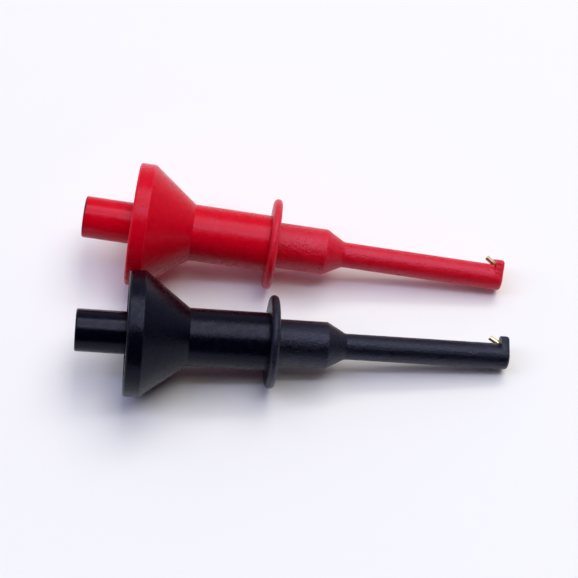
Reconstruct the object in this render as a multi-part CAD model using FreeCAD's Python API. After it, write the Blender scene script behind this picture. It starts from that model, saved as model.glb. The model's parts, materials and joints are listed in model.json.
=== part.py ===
import FreeCAD, Part
import math
import os

# A red and a black sprung test-hook clip, lying side by side on a bench.
# Each clip is drawn along +X, from the socket at its rear (x = 0) to the lip at its tip, with the lip and
# the barb of its hook towards +Z. It is then rolled about its axis, tilted onto its bell and finger guard,
# turned and set down. Sizes are in millimetres and angles in degrees.

# Outside of a clip, from the rear to the tip
SLEEVE_DIAMETER = 8.0
SLEEVE_STICK_OUT = 9.4
BELL_DIAMETER = 23.7
BELL_RIM_WIDTH = 3.0
BELL_CONE_LENGTH = 8.6
BODY_LENGTH = 14.85
GUARD_DIAMETER = 17.6
GUARD_THICKNESS = 1.65
BARREL_LENGTH = 9.5
TAPER_LENGTH = 3.5
NOSE_DIAMETER = 4.9
NOSE_LENGTH = 29.6
LIP_THICKNESS = 1.7
LIP_RISE = 1.0

# Walls, steps and lengths inside
BELL_WALL = 1.6
BODY_WALL = 0.9
BARREL_WALL = 1.1
STOP_STEP = 0.5
GUIDE_LENGTH = 4.0
COLLAR_THICKNESS = 1.6
BUSH_LENGTH = 2.5
BUSH_SETBACK = 1.9
PILOT_LENGTH = 1.0
WIRE_GUIDE_LENGTH = 3.0

# Moving pieces
TRAVEL = 7.0
SOCKET_BORE = 4.0
SOCKET_WALL = 1.0
SOCKET_RECESS = 1.0
SOCKET_FLOOR = 1.0
STEM_DIAMETER = 3.6
STEM_END = 0.8
LOCK_RING_THICKNESS = 0.6
LOCK_RING_WIDTH = 1.2
LOCK_RING_NOTCHES = 4
LOCK_RING_NOTCH_WIDTH = 0.6
LOCK_RING_NOTCH_DEPTH = 0.6
PUSH_ROD_DIAMETER = 2.0
PUSH_ROD_SEAT_DEPTH = 2.5
HOOK_WIRE_DIAMETER = 1.0
HOOK_WIRE_SEAT_DEPTH = 4.0
HOOK_BEND_RADIUS = 1.3
HOOK_BARB_ANGLE = 33.0
HOOK_BARB_RISE = 1.17
HOOK_SETBACK = 0.5
SPRING_DIAMETER = 5.3
SPRING_WIRE = 0.5
SPRING_TURNS = 6

# Clearances
GUIDE_CLEARANCE = 0.05
COLLAR_CLEARANCE = 0.1
PUSH_FIT_CLEARANCE = 0.02
ROD_CLEARANCE = 0.15
WIRE_CLEARANCE = 0.1
SPRING_CLEARANCE = 0.4
PILOT_CLEARANCE = 0.2
SEAT_GAP = 0.05
END_GAP = 0.3

# Rounded edges
BELL_EDGE = 0.5
MOUTH_EDGE = 0.3
CONE_FOOT_EDGE = 0.4
SLEEVE_EDGE = 0.35
BARREL_EDGE = 0.5
TAPER_FOOT_EDGE = 1.5
TIP_EDGE = 0.6
LIP_CORNER = 0.8
METAL_EDGE = 0.2

# How the pair lies: the gap between the two bells, and for each clip the side that it lies on, how far it
# lies ahead of the other, the turn of its nose towards the viewer and the roll of its lip away from upright.
RIM_GAP = 0.15
CLIPS = {
    "red": {"side": 1, "ahead": 0.21, "yaw": 5.62, "roll": 60.0},
    "black": {"side": -1, "ahead": 0.0, "yaw": 0.29, "roll": 80.0},
}

AXIS = FreeCAD.Vector(1, 0, 0)
ORIGIN = FreeCAD.Vector(0, 0, 0)

# Radii worked out from the sleeve outwards and from the spring outwards
sleeve_r = SLEEVE_DIAMETER / 2
guide_r = sleeve_r + GUIDE_CLEARANCE
bore_r = guide_r + STOP_STEP
body_r = bore_r + BODY_WALL
collar_r = bore_r - COLLAR_CLEARANCE
bell_r = BELL_DIAMETER / 2
guard_r = GUARD_DIAMETER / 2
spring_r = SPRING_DIAMETER / 2
barrel_bore_r = spring_r + SPRING_WIRE / 2 + SPRING_CLEARANCE
barrel_r = barrel_bore_r + BARREL_WALL
nose_r = NOSE_DIAMETER / 2
socket_bore_r = SOCKET_BORE / 2
socket_r = socket_bore_r + SOCKET_WALL
stem_r = STEM_DIAMETER / 2
rod_r = PUSH_ROD_DIAMETER / 2
wire_r = HOOK_WIRE_DIAMETER / 2
slot_r = wire_r + WIRE_CLEARANCE

# Stations along the axis, outside
bell_rear = SLEEVE_STICK_OUT
cone_start = bell_rear + BELL_RIM_WIDTH
cone_end = cone_start + BELL_CONE_LENGTH
guard_rear = cone_end + BODY_LENGTH
guard_front = guard_rear + GUARD_THICKNESS
barrel_end = guard_front + BARREL_LENGTH
nose_start = barrel_end + TAPER_LENGTH
lip_rear = nose_start + NOSE_LENGTH
tip = lip_rear + LIP_THICKNESS
lip_top = nose_r + LIP_RISE

# Stations along the axis, inside
stop_shoulder = cone_end
guide_rear = stop_shoulder - GUIDE_LENGTH
collar_rear = stop_shoulder + SEAT_GAP
collar_front = collar_rear + COLLAR_THICKNESS
socket_floor = collar_rear - SOCKET_FLOOR
ring_front = collar_front + LOCK_RING_THICKNESS
stem_front = ring_front + STEM_END
rod_rear = stem_front - PUSH_ROD_SEAT_DEPTH
spigot_rear = collar_front + TRAVEL + END_GAP
bush_front = barrel_end - BUSH_SETBACK
bush_rear = bush_front - BUSH_LENGTH


def at(x, y, z):
    return FreeCAD.Vector(x, y, z)


def joined(points):
    """Straight edges through the points, leaving out runs of no length."""
    pairs = zip(points, points[1:])
    return [Part.makeLine(a, b) for a, b in pairs if a.distanceToPoint(b) > 1e-6]


def outline(corners):
    """Closed wire in the XZ plane through corners of (x, z, rounding radius)."""
    points = [at(x, 0, z) for x, z, _ in corners]
    edges = []
    last_end = None
    first_start = None
    for i, (x, z, radius) in enumerate(corners):
        back = (points[i - 1] - points[i]).normalize()
        ahead = (points[(i + 1) % len(points)] - points[i]).normalize()
        half_angle = back.getAngle(ahead) / 2
        setback = radius / math.tan(half_angle)
        start = points[i] + back * setback
        end = points[i] + ahead * setback
        if last_end is None:
            first_start = start
        else:
            edges += joined([last_end, start])
        if radius > 0:
            inward = (back + ahead).normalize()
            middle = points[i] + inward * (radius / math.sin(half_angle) - radius)
            edges.append(Part.Arc(start, middle, end).toShape())
        last_end = end
    edges += joined([last_end, first_start])
    return Part.Wire(edges)


def turned(corners):
    """Solid of revolution about the clip's axis from corners of (x, radius, rounding radius)."""
    return Part.Face(outline(corners)).revolve(ORIGIN, AXIS, 360)


def grip():
    """The bell and body tube, one moulding: hollow behind, with a guide web and a stop for the plunger."""
    slope = (bell_r - body_r) / BELL_CONE_LENGTH
    wall_along_axis = BELL_WALL * math.hypot(1, slope) / slope
    inner_r = bell_r - BELL_WALL

    def inner_cone_x(radius):
        return cone_start - wall_along_axis + (bell_r - radius) / slope

    recess_floor_r = bell_r - slope * (guide_rear - cone_start + wall_along_axis)
    return turned([
        (bell_rear, inner_r, MOUTH_EDGE),
        (bell_rear, bell_r, BELL_EDGE),
        (cone_start, bell_r, BELL_EDGE),
        (cone_end, body_r, CONE_FOOT_EDGE),
        (guard_rear, body_r, 0),
        (guard_rear, bore_r, 0),
        (stop_shoulder, bore_r, 0),
        (stop_shoulder, guide_r, 0),
        (guide_rear, guide_r, MOUTH_EDGE),
        (guide_rear, recess_floor_r, 0),
        (inner_cone_x(inner_r), inner_r, 0),
    ])


def hook_points():
    """Start of the hook's bend, end of the bend and free end of the barb, on the wire's centre line."""
    barb = math.radians(HOOK_BARB_ANGLE)
    bend_start = at(lip_rear - HOOK_SETBACK, 0, 0)
    bend_end = bend_start + at(math.sin(barb), 0, 1 + math.cos(barb)) * HOOK_BEND_RADIUS
    barb_length = (nose_r + HOOK_BARB_RISE - bend_end.z) / math.sin(barb)
    barb_end = bend_end + at(-math.cos(barb), 0, math.sin(barb)) * barb_length
    return bend_start, bend_end, barb_end


def slot_start():
    """Rear end of the nose's slot, just behind the barb of the hook."""
    barb = math.radians(HOOK_BARB_ANGLE)
    bend_start, bend_end, _ = hook_points()
    crossing = bend_end.x - (nose_r - bend_end.z) / math.tan(barb) - wire_r / math.sin(barb)
    return min(crossing, bend_start.x) - WIRE_CLEARANCE


def front_housing():
    """The finger guard, barrel and nose, one moulding: a spigot behind, and a slotted lip at the tip."""
    outside = turned([
        (spigot_rear, 0, 0),
        (spigot_rear, bore_r - PUSH_FIT_CLEARANCE, MOUTH_EDGE),
        (guard_rear, bore_r - PUSH_FIT_CLEARANCE, 0),
        (guard_rear, guard_r, GUARD_THICKNESS / 2),
        (guard_front, guard_r, GUARD_THICKNESS / 2),
        (guard_front, barrel_r, 0),
        (barrel_end, barrel_r, BARREL_EDGE),
        (nose_start, nose_r, TAPER_FOOT_EDGE),
        (lip_rear, nose_r, 0),
        (lip_rear, 0, 0),
    ])
    housing = outside.fuse(upright_block(lip_rear, tip, nose_r, lip_top, LIP_CORNER)).removeSplitter()
    tip_edges = [edge for edge in housing.Edges if edge.BoundBox.XMin > tip - 1e-4]
    housing = housing.makeFillet(TIP_EDGE, tip_edges)
    wire_guide_front = slot_start()
    wire_guide_rear = wire_guide_front - WIRE_GUIDE_LENGTH
    bore = turned([
        (spigot_rear - END_GAP, 0, 0),
        (spigot_rear - END_GAP, barrel_bore_r, 0),
        (bush_front, barrel_bore_r, 0),
        (bush_front, rod_r + ROD_CLEARANCE, 0),
        (wire_guide_rear, rod_r + ROD_CLEARANCE, 0),
        (wire_guide_rear, slot_r, 0),
        (wire_guide_front, slot_r, 0),
        (wire_guide_front, 0, 0),
    ])
    slot = upright_block(wire_guide_front, tip + END_GAP, slot_r, lip_top + END_GAP, 0)
    return housing.cut(bore).cut(slot)


def upright_block(rear, front, half_width, top, corner):
    """Block along X, round below the axis and straight-sided above it, with rounded top corners."""
    left = at(rear, -half_width, 0)
    right = at(rear, half_width, 0)
    right_shoulder = at(rear, half_width, top - corner)
    left_shoulder = at(rear, -half_width, top - corner)
    edges = [Part.Arc(left, at(rear, 0, -half_width), right).toShape()]
    edges += joined([right, right_shoulder])
    if corner > 0:
        inset = corner * (1 - math.sqrt(0.5))
        right_top = at(rear, half_width - corner, top)
        left_top = at(rear, corner - half_width, top)
        edges.append(Part.Arc(right_shoulder, at(rear, half_width - inset, top - inset), right_top).toShape())
        edges += joined([right_top, left_top])
        edges.append(Part.Arc(left_top, at(rear, inset - half_width, top - inset), left_shoulder).toShape())
    else:
        edges += joined([right_shoulder, left_shoulder])
    edges += joined([left_shoulder, left])
    return Part.Face(Part.Wire(edges)).extrude(AXIS * (front - rear))


def plunger_sleeve():
    """The insulating sleeve round the socket, with the collar that stops it in the grip."""
    return turned([
        (0, socket_r, MOUTH_EDGE),
        (0, sleeve_r, SLEEVE_EDGE),
        (collar_rear, sleeve_r, 0),
        (collar_rear, collar_r, 0),
        (collar_front, collar_r, MOUTH_EDGE),
        (collar_front, stem_r, 0),
        (collar_rear, stem_r, 0),
        (collar_rear, socket_r, 0),
    ])


def socket():
    """The turned socket for a 4 mm plug, with a stem that goes through the sleeve's end wall."""
    outer_r = socket_r - PUSH_FIT_CLEARANCE
    outer_stem_r = stem_r - PUSH_FIT_CLEARANCE
    return turned([
        (SOCKET_RECESS, socket_bore_r, METAL_EDGE),
        (SOCKET_RECESS, outer_r, METAL_EDGE),
        (collar_rear, outer_r, 0),
        (collar_rear, outer_stem_r, 0),
        (stem_front, outer_stem_r, METAL_EDGE),
        (stem_front, rod_r, 0),
        (rod_rear, rod_r, 0),
        (rod_rear, 0, 0),
        (socket_floor, 0, 0),
        (socket_floor, socket_bore_r, 0),
    ])


def lock_ring():
    """The push-on ring that holds the socket in its sleeve and seats the spring, notched inside to grip."""
    ring_r = stem_r + LOCK_RING_WIDTH
    ring = turned([
        (collar_front, stem_r, 0),
        (collar_front, ring_r, 0),
        (ring_front, ring_r, METAL_EDGE),
        (ring_front, stem_r, 0),
    ])
    notch_top = stem_r + LOCK_RING_NOTCH_DEPTH
    for i in range(LOCK_RING_NOTCHES):
        notch = Part.makeBox(LOCK_RING_THICKNESS, LOCK_RING_NOTCH_WIDTH, notch_top,
                             at(collar_front, -LOCK_RING_NOTCH_WIDTH / 2, 0))
        notch.rotate(ORIGIN, AXIS, 360 / LOCK_RING_NOTCHES * i)
        ring = ring.cut(notch)
    return ring


def push_rod_front():
    return slot_start() - WIRE_GUIDE_LENGTH - TRAVEL - END_GAP


def push_rod():
    """The rod that carries the hook wire, seated in the socket's stem."""
    front = push_rod_front()
    outer_r = rod_r - PUSH_FIT_CLEARANCE
    wire_seat = front - HOOK_WIRE_SEAT_DEPTH
    return turned([
        (rod_rear, 0, 0),
        (rod_rear, outer_r, METAL_EDGE),
        (front, outer_r, METAL_EDGE),
        (front, wire_r, 0),
        (wire_seat, wire_r, 0),
        (wire_seat, 0, 0),
    ])


def hook_wire():
    """The hook: a wire along the axis, bent up and back into a barb that stands out behind the lip."""
    bend_start, bend_end, barb_end = hook_points()
    half_turn = math.radians(180 - HOOK_BARB_ANGLE) / 2
    bend_middle = bend_start + at(math.sin(half_turn), 0, 1 - math.cos(half_turn)) * HOOK_BEND_RADIUS
    wire_rear = at(push_rod_front() - HOOK_WIRE_SEAT_DEPTH, 0, 0)
    path = Part.Wire([
        Part.makeLine(wire_rear, bend_start),
        Part.Arc(bend_start, bend_middle, bend_end).toShape(),
        Part.makeLine(bend_end, barb_end),
    ])
    section = Part.Wire(Part.makeCircle(wire_r - PUSH_FIT_CLEARANCE, wire_rear, AXIS))
    return path.makePipeShell([section], True, False)


def rod_guide():
    """The bush in the end of the barrel: it guides the push rod, and its pilot centres the spring."""
    pilot_r = spring_r - SPRING_WIRE / 2 - PILOT_CLEARANCE
    return turned([
        (bush_rear - PILOT_LENGTH, rod_r + GUIDE_CLEARANCE, 0),
        (bush_rear - PILOT_LENGTH, pilot_r, METAL_EDGE),
        (bush_rear, pilot_r, 0),
        (bush_rear, barrel_bore_r - PUSH_FIT_CLEARANCE, METAL_EDGE),
        (bush_front, barrel_bore_r - PUSH_FIT_CLEARANCE, 0),
        (bush_front, rod_r + GUIDE_CLEARANCE, 0),
    ])


def tangent_arc(start, corner, end):
    """Arc from start to end, tangent there to the lines to the corner, which is as far from both."""
    middle = (start + end) * 0.5
    reach = corner.distanceToPoint(start)
    half_angle = math.asin(middle.distanceToPoint(start) / reach)
    rise = reach * (1 - math.sin(half_angle)) / math.cos(half_angle)
    crown = corner + (middle - corner).normalize() * rise
    return Part.Arc(start, crown, end).toShape()


def biarc(start, start_way, end, end_way):
    """Two arcs that leave start along start_way and reach end along end_way."""
    chord = end - start
    ways = start_way + end_way
    bend = 2 * (1 - start_way.dot(end_way))
    along = chord.dot(ways)
    reach = (math.sqrt(along ** 2 + bend * chord.dot(chord)) - along) / bend
    first_corner = start + start_way * reach
    last_corner = end - end_way * reach
    middle = (first_corner + last_corner) * 0.5
    return [tangent_arc(start, first_corner, middle), tangent_arc(middle, last_corner, end)]


def return_spring():
    """The compression spring between the lock ring and the rod guide, as one unbroken wire."""
    first = ring_front + SEAT_GAP + SPRING_WIRE / 2
    last = bush_rear - SEAT_GAP - SPRING_WIRE / 2
    pitch = (last - first) / SPRING_TURNS
    climb = pitch / (2 * math.pi)

    def point(turn):
        angle = 2 * math.pi * turn
        return at(first + pitch * turn, spring_r * math.cos(angle), spring_r * math.sin(angle))

    def way(turn):
        angle = 2 * math.pi * turn
        return at(climb, -spring_r * math.sin(angle), spring_r * math.cos(angle)).normalize()

    quarters = [i / 4 for i in range(4 * SPRING_TURNS + 1)]
    edges = []
    for a, b in zip(quarters, quarters[1:]):
        edges += biarc(point(a), way(a), point(b), way(b))
    path = Part.Wire(edges)
    section = Part.Wire(Part.makeCircle(SPRING_WIRE / 2, point(0), way(0)))
    turns_apart = min(point(0).distanceToPoint(point(0.5 + i / 100)) for i in range(100))
    print("least gap of the spring to itself: %.2f mm" % (turns_apart - SPRING_WIRE))
    return path.makePipeShell([section], True, False)


def rest_tilt():
    """Nose-down angle, in radians, at which a clip rests on its bell and on its guard or its tip."""
    def tilt(x, r, edge):
        run = x - (cone_start - BELL_EDGE)
        drop = bell_r - BELL_EDGE - r
        return math.atan2(drop, run) + math.asin((BELL_EDGE - edge) / math.hypot(run, drop))

    guard_edge = GUARD_THICKNESS / 2
    on_guard = tilt(guard_rear + guard_edge, guard_r - guard_edge, guard_edge)
    on_tip = tilt(tip - TIP_EDGE, nose_r - TIP_EDGE, TIP_EDGE)
    return min(on_guard, on_tip)


def bench_place(clip):
    """Where a clip lies: rolled about its axis, tilted nose-down to rest, turned, and set on the bench."""
    tilt = rest_tilt()
    rim_x = cone_start - BELL_EDGE
    rim_r = bell_r - BELL_EDGE
    axis_height = rim_x * math.sin(tilt) + rim_r * math.cos(tilt) + BELL_EDGE
    turn = FreeCAD.Rotation(at(0, 0, 1), -clip["yaw"])
    turn = turn.multiply(FreeCAD.Rotation(at(0, 1, 0), math.degrees(tilt)))
    turn = turn.multiply(FreeCAD.Rotation(AXIS, -clip["roll"]))
    bell_y = clip["side"] * (BELL_DIAMETER + RIM_GAP) / 2
    bell_from_rear = turn.multVec(at(bell_rear + BELL_RIM_WIDTH / 2, 0, 0))
    return FreeCAD.Placement(at(clip["ahead"], bell_y - bell_from_rear.y, axis_height), turn)


def clip_pieces():
    """Every piece of one clip, in the clip's own frame."""
    return {
        "grip": grip(),
        "front_housing": front_housing(),
        "rod_guide": rod_guide(),
        "return_spring": return_spring(),
        "plunger_sleeve": plunger_sleeve(),
        "socket": socket(),
        "lock_ring": lock_ring(),
        "push_rod": push_rod(),
        "hook_wire": hook_wire(),
    }


def main():
    os.makedirs("parts", exist_ok=True)
    one_clip = clip_pieces()
    pieces = {}
    for colour, clip in CLIPS.items():
        matrix = bench_place(clip).toMatrix()
        for name, shape in one_clip.items():
            pieces[colour + "_" + name] = shape.transformed(matrix, True)
    box = Part.makeCompound(list(pieces.values())).optimalBoundingBox(False)
    to_origin = at(-box.Center.x, -box.Center.y, -box.ZMin)
    for name, shape in pieces.items():
        shape.translate(to_origin)
        shape.exportStep("parts/" + name + ".step")
        print("%-22s %9.2f mm3  valid %s" % (name, shape.Volume, shape.isValid()))
    print("box %.2f x %.2f x %.2f mm" % (box.XLength, box.YLength, box.ZLength))
    for colour, clip in CLIPS.items():
        place = bench_place(clip)
        ahead = place.Rotation.multVec(AXIS)
        mouth = place.multVec(at(SOCKET_RECESS, 0, 0)) + to_origin
        print(colour, "socket mouth", [round(v, 3) for v in mouth], "axis", [round(v, 5) for v in ahead],
              "socket depth %.2f" % (socket_floor - SOCKET_RECESS))


main()
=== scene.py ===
import json
import math

import bmesh
import bpy
from mathutils import Matrix, Vector


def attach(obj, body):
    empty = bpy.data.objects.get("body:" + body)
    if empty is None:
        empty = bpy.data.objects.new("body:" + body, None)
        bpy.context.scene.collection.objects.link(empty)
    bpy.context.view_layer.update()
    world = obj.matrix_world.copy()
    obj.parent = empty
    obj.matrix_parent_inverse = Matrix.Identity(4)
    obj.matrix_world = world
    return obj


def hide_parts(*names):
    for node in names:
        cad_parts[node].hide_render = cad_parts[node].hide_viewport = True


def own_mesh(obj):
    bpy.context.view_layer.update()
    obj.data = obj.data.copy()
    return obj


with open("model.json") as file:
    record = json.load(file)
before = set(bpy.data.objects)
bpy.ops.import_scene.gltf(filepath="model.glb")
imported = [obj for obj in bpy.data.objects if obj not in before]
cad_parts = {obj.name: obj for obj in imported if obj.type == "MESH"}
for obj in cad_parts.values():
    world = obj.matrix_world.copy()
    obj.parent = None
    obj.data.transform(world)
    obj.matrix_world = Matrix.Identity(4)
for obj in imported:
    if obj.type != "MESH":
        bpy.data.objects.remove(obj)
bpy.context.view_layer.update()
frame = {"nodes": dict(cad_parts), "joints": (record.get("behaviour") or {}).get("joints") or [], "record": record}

# A red and a black sprung test-hook clip on a white bench, in metres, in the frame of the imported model.

MM = 0.001

# Camera: what it looks at on the bench, how far off and how high it stands, and its lens, with the focal
# length in pixels of the picture and the sensor in millimetres
VIEW_TARGET = Vector((-0.89, 4.458, 0.0)) * MM
VIEW_DISTANCE = 344.21 * MM
VIEW_ELEVATION = math.radians(60.0)
PICTURE_WIDTH = 578
FOCAL_LENGTH = 1750.6
SENSOR_WIDTH = 36.0

# Lamps: level rectangles above the bench. Each reaches from its front to its rear edge, in degrees behind
# the vertical, and from its left to its right end, in metres along X. The front tubes and the spill from the
# left are cooler than the rest, so that the shadows are bluish.
LAMP_HEIGHT = 1.8
PLAIN_LIGHT = (1.05, 1.03, 0.92)
COOL_LIGHT = (0.91, 0.95, 1.46)
LAMPS = {
    "panel": {"angles": (-18.0, 38.0), "reach": (0.1, 0.6), "radiance": 4.9, "tint": PLAIN_LIGHT},
    "right panel": {"angles": (-8.0, 40.0), "reach": (0.6, 1.2), "radiance": 2.6, "tint": PLAIN_LIGHT},
    "front tubes": {"angles": (-8.5, -3.5), "reach": (-0.9, 0.9), "radiance": 5.2, "tint": COOL_LIGHT},
    "rear tubes": {"angles": (25.0, 31.0), "reach": (-0.9, 1.2), "radiance": 3.8, "tint": PLAIN_LIGHT},
    "left spill": {"angles": (-18.0, 8.0), "reach": (-3.0, -0.9), "radiance": 2.1, "tint": COOL_LIGHT},
}

# Room: almost dark in front of the bench and dim behind it, with a fade over this span of a direction's Y
ROOM_IN_FRONT = (0.01, 0.01, 0.014)
ROOM_BEHIND = (0.42, 0.43, 0.54)
ROOM_FADE = (-0.3, 0.3)

BENCH_SIZE = 8.0
BENCH_COLOUR = (0.93, 0.922, 0.908)
BENCH_ROUGH = 0.8
BENCH_SHEEN = 0.1

# Plastics: the colours of each clip, with a lighter edge colour that is a painted highlight on rounded edges,
# then the gloss and grain of each moulding, and the level of that painted edge colour. The sleeve is the
# smoothest, and its rims are painted dark, a painted shade.
PLASTIC_COLOURS = {
    "red": {"plain": (0.66, 0.0008, 0.013), "painted_edge": (0.76, 0.008, 0.022)},
    "black": {"plain": (0.0007, 0.0010, 0.0042), "painted_edge": (0.009, 0.009, 0.013)},
}
PLASTIC_FINISHES = {
    "grip": {
        "rough": 0.27,
        "sheen": 0.175,
        "grain_scale": 2600.0,
        "grain_depth": 0.036 * MM,
        "painted_edge_level": 1.0,
    },
    "front_housing": {
        "rough": 0.34,
        "sheen": 0.46,
        "grain_scale": 2600.0,
        "grain_depth": 0.15 * MM,
        "painted_edge_level": 1.0,
    },
    "plunger_sleeve": {
        "rough": 0.21,
        "sheen": 0.175,
        "grain_scale": 3000.0,
        "grain_depth": 0.014 * MM,
        # Painted shade: the sleeve's rims are darkened to a tenth of the painted edge colour
        "painted_edge_level": 0.1,
    },
}

# What all plastics share: a bluish sheen, the deep shade of their mottle, the spread of their roughness, the
# part of the orange peel in their grain and the part of the painted edge colour, a painted highlight, that shows
# on their edges
SHEEN_TINT = (0.62, 0.64, 1.0)
DEEP_SHADE = 0.92
ROUGH_SPREAD = 0.08
PEEL_SHARE = 0.35
PAINTED_EDGE_AMOUNT = 1.0

# Metals: the colours of each, then what they share, with the roughness where clean and where tarnished
METALS = {
    "brass": {"name": "drawn brass", "clean": (0.90, 0.78, 0.46), "tarnished": (0.62, 0.48, 0.24)},
    "steel": {"name": "spring steel", "clean": (0.56, 0.55, 0.54), "tarnished": (0.33, 0.31, 0.29)},
}
METAL_ROUGH = (0.28, 0.43)
MARK_SCALE = 4000.0
MARK_STRETCH = (0.06, 1.0, 1.0)
MARK_DEPTH = 0.004 * MM

# Noise behind each effect: its cells per metre, unless they are an input of the effect's group, and its finer
# layers with their weight
GRAIN_NOISE = {"detail": 3.0, "roughness": 0.6}
PEEL_NOISE = {"scale": 700.0, "detail": 1.0, "roughness": 0.5}
MOTTLE_NOISE = {"scale": 800.0, "detail": 3.0, "roughness": 0.6}
# Patches of the painted edge colour, a painted highlight on rounded edges
PAINTED_EDGE_NOISE = {"scale": 900.0, "detail": 5.0, "roughness": 0.7}
MARK_NOISE = {"detail": 2.0, "roughness": 0.5}
TARNISH_NOISE = {"scale": 1100.0, "detail": 4.0, "roughness": 0.6}

# Span of the noise over which each effect comes in, from none to full, or from thin to full painted edge colour
NONE_TO_FULL = (0.0, 1.0)
THIN_TO_FULL = (0.25, 1.0)
COLOUR_SPAN = (0.3, 0.7)
ROUGH_SPAN = (0.25, 0.75)
PAINTED_EDGE_SPAN = (0.35, 0.65)
TARNISH_SPAN = (0.42, 0.68)

# Finished meshes: what is welded, what stays sharp, and the span of curvature over which a rounded edge comes
# to take the painted edge colour, a painted highlight
WELD_DISTANCE = 0.0002 * MM
SHARP_ANGLE = math.radians(32.0)
EDGE_CURVATURE = (0.6 / MM, 1.6 / MM)

SPRING_TURNS = 6
SPRING_TURN_POINTS = 40
SPRING_WIRE_SIDES = 14


def new_group(name, inputs, outputs):
    """Shader group with named inputs, which each material gives its own values, and named outputs."""
    tree = bpy.data.node_groups.new(name, "ShaderNodeTree")
    for label in inputs:
        tree.interface.new_socket(label, in_out="INPUT", socket_type="NodeSocketFloat")
    for label in outputs:
        tree.interface.new_socket(label, in_out="OUTPUT", socket_type="NodeSocketFloat")
    given = tree.nodes.new("NodeGroupInput").outputs
    result = tree.nodes.new("NodeGroupOutput").inputs
    return tree, given, result


def feed(tree, value, socket):
    """Give a socket a number, or link it to another node's output."""
    if isinstance(value, (int, float)):
        socket.default_value = value
    else:
        tree.links.new(value, socket)


def add_noise(tree, place, scale, detail, roughness):
    noise = tree.nodes.new("ShaderNodeTexNoise")
    noise.inputs["Detail"].default_value = detail
    noise.inputs["Roughness"].default_value = roughness
    tree.links.new(place, noise.inputs["Vector"])
    feed(tree, scale, noise.inputs["Scale"])
    return noise.outputs["Fac"]


def add_math(tree, operation, first, second):
    node = tree.nodes.new("ShaderNodeMath")
    node.operation = operation
    feed(tree, first, node.inputs[0])
    feed(tree, second, node.inputs[1])
    return node.outputs["Value"]


def add_range(tree, value, span, result):
    """Smooth step from the first to the second result while the value crosses its span."""
    node = tree.nodes.new("ShaderNodeMapRange")
    node.interpolation_type = "SMOOTHSTEP"
    node.inputs["From Min"].default_value, node.inputs["From Max"].default_value = span
    node.inputs["To Min"].default_value, node.inputs["To Max"].default_value = result
    tree.links.new(value, node.inputs["Value"])
    return node.outputs["Result"]


def add_mix(tree, mask, first, second):
    """Colour that goes from the first to the second as the mask goes from 0 to 1."""
    node = tree.nodes.new("ShaderNodeMix")
    node.data_type = "RGBA"
    tree.links.new(mask, node.inputs["Factor"])
    for socket, colour in ((node.inputs["A"], first), (node.inputs["B"], second)):
        if isinstance(colour, tuple):
            socket.default_value = (*colour, 1.0)
        else:
            tree.links.new(colour, socket)
    return node.outputs["Result"]


def add_bump(tree, shader, height, depth):
    bump = tree.nodes.new("ShaderNodeBump")
    bump.inputs["Strength"].default_value = 1.0
    bump.inputs["Distance"].default_value = depth
    tree.links.new(height, bump.inputs["Height"])
    tree.links.new(bump.outputs["Normal"], shader.inputs["Normal"])


def add_group(tree, group, **values):
    """Place a shader group, with a value for each of its inputs."""
    node = tree.nodes.new("ShaderNodeGroup")
    node.node_tree = group
    for label, value in values.items():
        node.inputs[label.replace("_", " ")].default_value = value
    return node.outputs


def object_place(tree):
    return tree.nodes.new("ShaderNodeTexCoord").outputs["Object"]


def moulded_grain():
    """Spark-eroded mould texture: a fine grain over a soft orange peel, and a broad mottle."""
    tree, given, result = new_group("moulded grain", ["Grain Scale", "Peel"], ["Height", "Mottle"])
    place = object_place(tree)
    grain = add_noise(tree, place, given["Grain Scale"], **GRAIN_NOISE)
    peel = add_noise(tree, place, **PEEL_NOISE)
    height = add_math(tree, "ADD", grain, add_math(tree, "MULTIPLY", peel, given["Peel"]))
    tree.links.new(height, result["Height"])
    tree.links.new(add_noise(tree, place, **MOTTLE_NOISE), result["Mottle"])
    return tree


def painted_edge_mask():
    """Mask of the rounded edges, in patches, for the painted edge colour: a painted highlight, or painted shade.
    """
    tree, given, result = new_group("painted edge mask", ["Amount"], ["Mask"])
    edge = tree.nodes.new("ShaderNodeAttribute")
    edge.attribute_name = "edge"
    patches = add_range(tree, add_noise(tree, object_place(tree), **PAINTED_EDGE_NOISE), PAINTED_EDGE_SPAN, THIN_TO_FULL)
    # Painted highlight mask: the rounded edges, in patches
    painted_edge = add_math(tree, "MULTIPLY", edge.outputs["Fac"], patches)
    tree.links.new(add_math(tree, "MULTIPLY", painted_edge, given["Amount"]), result["Mask"])
    return tree


def drawn_metal():
    """Fine marks along a turned or drawn piece, and a cloud of tarnish."""
    tree, given, result = new_group("drawn metal", ["Mark Scale"], ["Height", "Tarnish"])
    place = object_place(tree)
    stretch = tree.nodes.new("ShaderNodeMapping")
    stretch.inputs["Scale"].default_value = MARK_STRETCH
    tree.links.new(place, stretch.inputs["Vector"])
    marks = add_noise(tree, stretch.outputs["Vector"], given["Mark Scale"], **MARK_NOISE)
    tarnish = add_range(tree, add_noise(tree, place, **TARNISH_NOISE), TARNISH_SPAN, NONE_TO_FULL)
    tree.links.new(marks, result["Height"])
    tree.links.new(tarnish, result["Tarnish"])
    return tree


def new_material(name):
    material = bpy.data.materials.new(name)
    material.use_nodes = True
    tree = material.node_tree
    return material, tree, tree.nodes["Principled BSDF"]


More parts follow.
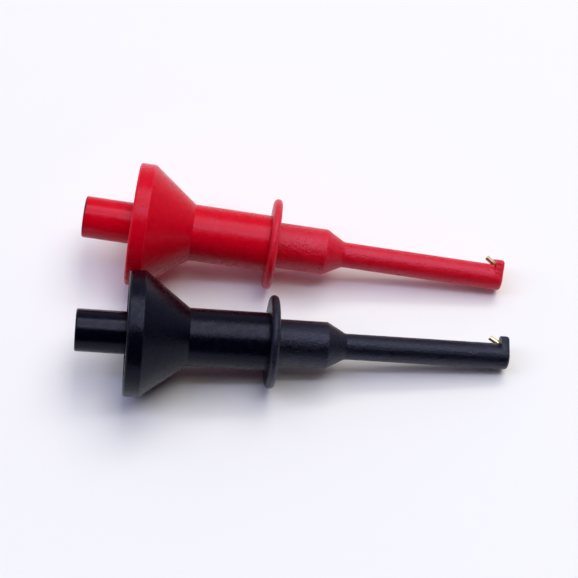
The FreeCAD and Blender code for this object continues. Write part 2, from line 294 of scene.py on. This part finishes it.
def plastic(groups, name, colours, finish):
    """Moulded plastic: grained, faintly mottled, with a painted highlight or shade on its rounded edges."""
    material, tree, shader = new_material(name)
    grain = add_group(tree, groups["grain"], Grain_Scale=finish["grain_scale"], Peel=PEEL_SHARE)
    edges = add_group(tree, groups["edges"], Amount=PAINTED_EDGE_AMOUNT)

    deep = tuple(DEEP_SHADE * part for part in colours["plain"])
    # Painted edge colour at this moulding's level: a painted highlight at 1.0, a painted shade at the sleeve's 0.1
    painted_edge = tuple(finish["painted_edge_level"] * part for part in colours["painted_edge"])
    mottle = add_range(tree, grain["Mottle"], COLOUR_SPAN, NONE_TO_FULL)
    mottled = add_mix(tree, mottle, deep, colours["plain"])
    # Rounded edges get the painted edge colour: a painted highlight, or on the sleeve's rims a painted shade
    tree.links.new(add_mix(tree, edges["Mask"], mottled, painted_edge), shader.inputs["Base Color"])

    uneven = (finish["rough"] - ROUGH_SPREAD, finish["rough"] + ROUGH_SPREAD)
    tree.links.new(add_range(tree, grain["Mottle"], ROUGH_SPAN, uneven), shader.inputs["Roughness"])
    shader.inputs["Specular IOR Level"].default_value = finish["sheen"]
    shader.inputs["Specular Tint"].default_value = (*SHEEN_TINT, 1.0)
    add_bump(tree, shader, grain["Height"], finish["grain_depth"])
    return material


def metal(groups, name, clean, tarnished):
    """Bare metal with drawing marks and some tarnish."""
    material, tree, shader = new_material(name)
    marks = add_group(tree, groups["metal"], Mark_Scale=MARK_SCALE)
    colour = add_mix(tree, marks["Tarnish"], clean, tarnished)
    tree.links.new(colour, shader.inputs["Base Color"])
    tree.links.new(add_range(tree, marks["Tarnish"], NONE_TO_FULL, METAL_ROUGH), shader.inputs["Roughness"])
    shader.inputs["Metallic"].default_value = 1.0
    add_bump(tree, shader, marks["Height"], MARK_DEPTH)
    return material


def make_materials():
    """Materials by material slot, and for the plastics by colour and moulding."""
    groups = {"grain": moulded_grain(), "edges": painted_edge_mask(), "metal": drawn_metal()}
    made = {slot: metal(groups, **values) for slot, values in METALS.items()}
    for colour, colours in PLASTIC_COLOURS.items():
        for moulding, finish in PLASTIC_FINISHES.items():
            name = f"{colour} plastic of the {moulding}"
            made[colour, moulding] = plastic(groups, name, colours, finish)
    return made


def add_object(name, data):
    added = bpy.data.objects.new(name, data)
    bpy.context.scene.collection.objects.link(added)
    return added


def keep_modified(piece):
    """Keep what a piece's modifiers make as its plain mesh, and remove them."""
    modified = piece.evaluated_get(bpy.context.evaluated_depsgraph_get())
    mesh = bpy.data.meshes.new_from_object(modified)
    piece.modifiers.clear()
    piece.data = mesh


def mark_edges(mesh):
    """Face attribute "edge": 1 on tight convex curves, such as rounded rims, and 0 on flats and tubes."""
    low, high = EDGE_CURVATURE
    work = bmesh.new()
    work.from_mesh(mesh)
    values = [0.0] * len(work.faces)
    for edge in work.edges:
        length = edge.calc_length()
        if len(edge.link_faces) != 2 or length == 0:
            continue
        spread = sum(face.calc_area() for face in edge.link_faces) / length
        curvature = edge.calc_face_angle_signed(0.0) / max(spread, WELD_DISTANCE)
        share = min((curvature - low) / (high - low), 1.0)
        for face in edge.link_faces:
            values[face.index] = max(values[face.index], share)
    work.free()
    attribute = mesh.attributes.new("edge", "FLOAT", "FACE")
    attribute.data.foreach_set("value", values)


def finished_copy(node, material, body):
    """Welded, smooth copy of a CAD node, which stands for it."""
    mesh = frame["nodes"][node].data.copy()
    work = bmesh.new()
    work.from_mesh(mesh)
    bmesh.ops.remove_doubles(work, verts=work.verts, dist=WELD_DISTANCE)
    work.to_mesh(mesh)
    work.free()
    if mesh.has_custom_normals:
        mesh.attributes.remove(mesh.attributes["custom_normal"])
    mesh.shade_smooth()
    mesh.set_sharp_from_angle(angle=SHARP_ANGLE)
    mark_edges(mesh)
    mesh.materials.clear()
    mesh.materials.append(material)

    piece = add_object(node + "_finished", mesh)
    even = piece.modifiers.new("even shading", "WEIGHTED_NORMAL")
    even.mode = "FACE_AREA"
    even.keep_sharp = True
    keep_modified(piece)
    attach(piece, body)
    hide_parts(node)


def wound_wire():
    """Geometry Nodes tree of a wire wound along +Z, with its sizes and its material as inputs."""
    tree = bpy.data.node_groups.new("wound wire", "GeometryNodeTree")
    for label in ("Coil Radius", "Wire Radius", "Height", "Turns"):
        tree.interface.new_socket(label, in_out="INPUT", socket_type="NodeSocketFloat")
    tree.interface.new_socket("Material", in_out="INPUT", socket_type="NodeSocketMaterial")
    tree.interface.new_socket("Geometry", in_out="OUTPUT", socket_type="NodeSocketGeometry")
    sizes = tree.nodes.new("NodeGroupInput").outputs

    spiral = tree.nodes.new("GeometryNodeCurveSpiral")
    spiral.inputs["Resolution"].default_value = SPRING_TURN_POINTS
    tree.links.new(sizes["Turns"], spiral.inputs["Rotations"])
    tree.links.new(sizes["Coil Radius"], spiral.inputs["Start Radius"])
    tree.links.new(sizes["Coil Radius"], spiral.inputs["End Radius"])
    tree.links.new(sizes["Height"], spiral.inputs["Height"])
    section = tree.nodes.new("GeometryNodeCurvePrimitiveCircle")
    section.inputs["Resolution"].default_value = SPRING_WIRE_SIDES
    tree.links.new(sizes["Wire Radius"], section.inputs["Radius"])
    wire = tree.nodes.new("GeometryNodeCurveToMesh")
    wire.inputs["Fill Caps"].default_value = True
    tree.links.new(spiral.outputs["Curve"], wire.inputs["Curve"])
    tree.links.new(section.outputs["Curve"], wire.inputs["Profile Curve"])

    real = tree.nodes.new("GeometryNodeRealizeInstances")
    tree.links.new(wire.outputs["Mesh"], real.inputs["Geometry"])
    dressed = tree.nodes.new("GeometryNodeSetMaterial")
    tree.links.new(real.outputs["Geometry"], dressed.inputs["Geometry"])
    tree.links.new(sizes["Material"], dressed.inputs["Material"])
    tree.links.new(dressed.outputs["Geometry"], tree.nodes.new("NodeGroupOutput").inputs["Geometry"])
    return tree


def wound_spring(node, joint, tree, material, body):
    """Wound wire in the place of a CAD spring, set out from the seat that stays fixed while the plunger's slide
    presses the spring.
    """
    axis = Vector(joint["axis"]).normalized()
    seat = Vector(joint["deforming_nodes"][0]["fixed_end_m"])
    offsets = [vertex.co - seat for vertex in frame["nodes"][node].data.vertices]
    stations = [offset.dot(axis) for offset in offsets]
    rear, front = min(stations), max(stations)
    arms = [offset - axis * station for offset, station in zip(offsets, stations)]
    inner_r, outer_r = min(arm.length for arm in arms), max(arm.length for arm in arms)
    wire_r = (outer_r - inner_r) / 2
    values = {
        "Coil Radius": (outer_r + inner_r) / 2,
        "Wire Radius": wire_r,
        "Height": front - rear - 2 * wire_r,
        "Turns": float(SPRING_TURNS),
        "Material": material,
    }

    piece = add_object(node + "_finished", bpy.data.meshes.new(node + "_finished"))
    winder = piece.modifiers.new("wound wire", "NODES")
    winder.node_group = tree
    for socket in tree.interface.items_tree:
        if socket.in_out == "INPUT":
            winder[socket.identifier] = values[socket.name]
    keep_modified(piece)

    # The wire's rear end lies where that of the CAD spring does
    start = arms[stations.index(rear)].normalized()
    turn = Matrix((start, axis.cross(start), axis)).transposed().to_4x4()
    piece.data.transform(Matrix.Translation(seat + axis * (rear + wire_r)) @ turn)
    piece.data.shade_smooth()
    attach(piece, body)
    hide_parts(node)
    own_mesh(piece)


def dress(materials):
    """A finished copy of every piece of both clips, apart from the springs, which are wound anew."""
    slots = {row["node"]: row["material_slot"] for row in frame["record"]["subparts"]}
    springs = {row["node"]: joint for joint in frame["joints"] for row in joint["deforming_nodes"]}
    wire_tree = wound_wire()
    for body, nodes in frame["record"]["behaviour"]["bodies"].items():
        for node in nodes:
            slot = slots[node]
            colour, piece = node.split("_", 1)
            if node in springs:
                wound_spring(node, springs[node], wire_tree, materials[slot], body)
            else:
                key = (colour, piece) if piece in PLASTIC_FINISHES else slot
                finished_copy(node, materials[key], body)


def bench():
    half = BENCH_SIZE / 2
    corners = [(-half, -half, 0), (half, -half, 0), (half, half, 0), (-half, half, 0)]
    mesh = bpy.data.meshes.new("bench")
    mesh.from_pydata(corners, [], [(0, 1, 2, 3)])
    material, _, shader = new_material("white bench")
    shader.inputs["Base Color"].default_value = (*BENCH_COLOUR, 1.0)
    shader.inputs["Roughness"].default_value = BENCH_ROUGH
    shader.inputs["Specular IOR Level"].default_value = BENCH_SHEEN
    mesh.materials.append(material)
    add_object("bench", mesh)


def lamp(name, angles, reach, radiance, tint):
    """One lamp, which shines straight down and doesn't show itself to the camera."""
    front, rear = (LAMP_HEIGHT * math.tan(math.radians(angle)) for angle in angles)
    left, right = reach
    light = bpy.data.lights.new(name, "AREA")
    light.shape = "RECTANGLE"
    light.size = right - left
    light.size_y = rear - front
    light.energy = radiance * math.pi * light.size * light.size_y
    light.color = tint
    hung = add_object(name, light)
    hung.location = ((left + right) / 2, (front + rear) / 2, LAMP_HEIGHT)
    hung.visible_camera = False


def room():
    """Dim light from all round, by the direction that it comes from."""
    world = bpy.data.worlds.new("room")
    bpy.context.scene.world = world
    world.use_nodes = True
    tree = world.node_tree
    direction = tree.nodes.new("ShaderNodeSeparateXYZ")
    tree.links.new(tree.nodes.new("ShaderNodeTexCoord").outputs["Generated"], direction.inputs["Vector"])
    behind = add_range(tree, direction.outputs["Y"], ROOM_FADE, NONE_TO_FULL)
    colour = add_mix(tree, behind, ROOM_IN_FRONT, ROOM_BEHIND)
    tree.links.new(colour, tree.nodes["Background"].inputs["Color"])


def camera():
    data = bpy.data.cameras.new("camera")
    data.sensor_width = SENSOR_WIDTH
    data.lens = FOCAL_LENGTH / PICTURE_WIDTH * SENSOR_WIDTH
    eye = add_object("camera", data)
    away = Vector((0.0, -math.cos(VIEW_ELEVATION), math.sin(VIEW_ELEVATION)))
    eye.location = VIEW_TARGET + away * VIEW_DISTANCE
    eye.rotation_euler = (math.pi / 2 - VIEW_ELEVATION, 0.0, 0.0)
    bpy.context.scene.camera = eye


dress(make_materials())
bench()
for lamp_name, lamp_values in LAMPS.items():
    lamp(lamp_name, **lamp_values)
room()
camera()
bpy.context.scene.view_settings.view_transform = "Standard"
